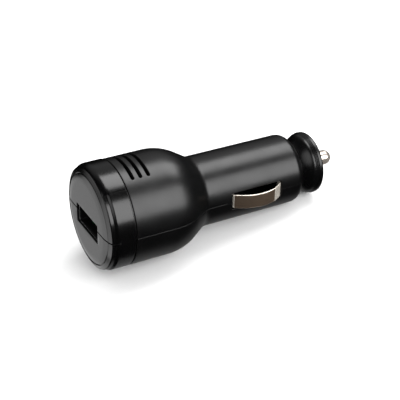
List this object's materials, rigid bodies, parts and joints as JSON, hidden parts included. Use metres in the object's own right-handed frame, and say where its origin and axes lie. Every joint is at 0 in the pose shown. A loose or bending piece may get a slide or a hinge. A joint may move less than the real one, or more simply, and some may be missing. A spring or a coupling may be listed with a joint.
{
  "type": "car usb charger plug",
  "caption": "Round-headed plug for a 12 V vehicle socket with a usb port in its face, a sprung centre contact and sprung side contacts.",
  "frame": {"origin": "centre of the flat usb face, on the plug's own axis", "axes": "+Z along the plug towards the centre contact; the parting plane is XZ, the vents and the raised plate are on the -Y side, the side contacts on +X and -X"},
  "size_m": [0.031, 0.0313, 0.0809],
  "materials": {
    "housing_black": "satin black, polished front band",
    "cap_black": "glossy black",
    "nickel": "nickel plated, slightly warm",
    "spring_strip": "nickel plated spring strip",
    "spring_wire": "bare spring wire",
    "steel_shell": "folded tinned sheet",
    "fuse_glass": "clear tube",
    "fuse_metal": "plated cap",
    "gold": "gold flashed",
    "black_insulator": "moulded, matt",
    "board_green": "green solder mask",
    "can": "printed sleeve and bare top",
    "tinned": "tinned",
    "ferrite": "grey ferrite",
    "copper": "enamelled copper wire",
    "chip_black": "moulded, matt",
    "ceramic": "fired ceramic",
    "lead_black": "soft insulation"
  },
  "bodies": {
    "housing": {"upper_shell": "housing_black", "lower_shell": "housing_black", "nose_cap": "cap_black", "contact_spring": "spring_wire", "spring_seat": "nickel", "usb_shell": "steel_shell", "usb_insulator": "black_insulator", "usb_contacts": "gold", "circuit_board": "board_green", "input_capacitor": "can", "output_capacitor": "can", "capacitor_leads": "tinned", "coil_former": "ferrite", "coil_winding": "copper", "converter_chip": "chip_black", "chip_legs": "tinned", "diode": "chip_black", "diode_tabs": "tinned", "chip_resistors": "ceramic", "right_ground_lead": "lead_black", "left_ground_lead": "lead_black"},
    "tip": {"centre_pin": "nickel", "fuse_front_cap": "fuse_metal", "fuse_rear_cap": "fuse_metal", "fuse_glass": "fuse_glass", "fuse_wire": "tinned"},
    "right_contact": {"right_side_contact": "spring_strip"},
    "left_contact": {"left_side_contact": "spring_strip"}
  },
  "joints": [
    {"name": "contact_press", "type": "slide", "parent": "housing", "child": "tip", "axis": [0, 0, -1], "range_m": [0, 0.0025], "stiffness_N_per_m": 800, "deforming": ["contact_spring"]},
    {"name": "right_contact_press", "type": "slide", "parent": "housing", "child": "right_contact", "axis": [-1, 0, 0], "range_m": [0, 0.0018], "stiffness_N_per_m": 800},
    {"name": "left_contact_press", "type": "slide", "parent": "housing", "child": "left_contact", "axis": [1, 0, 0], "range_m": [0, 0.0018], "stiffness_N_per_m": 800}
  ]
}
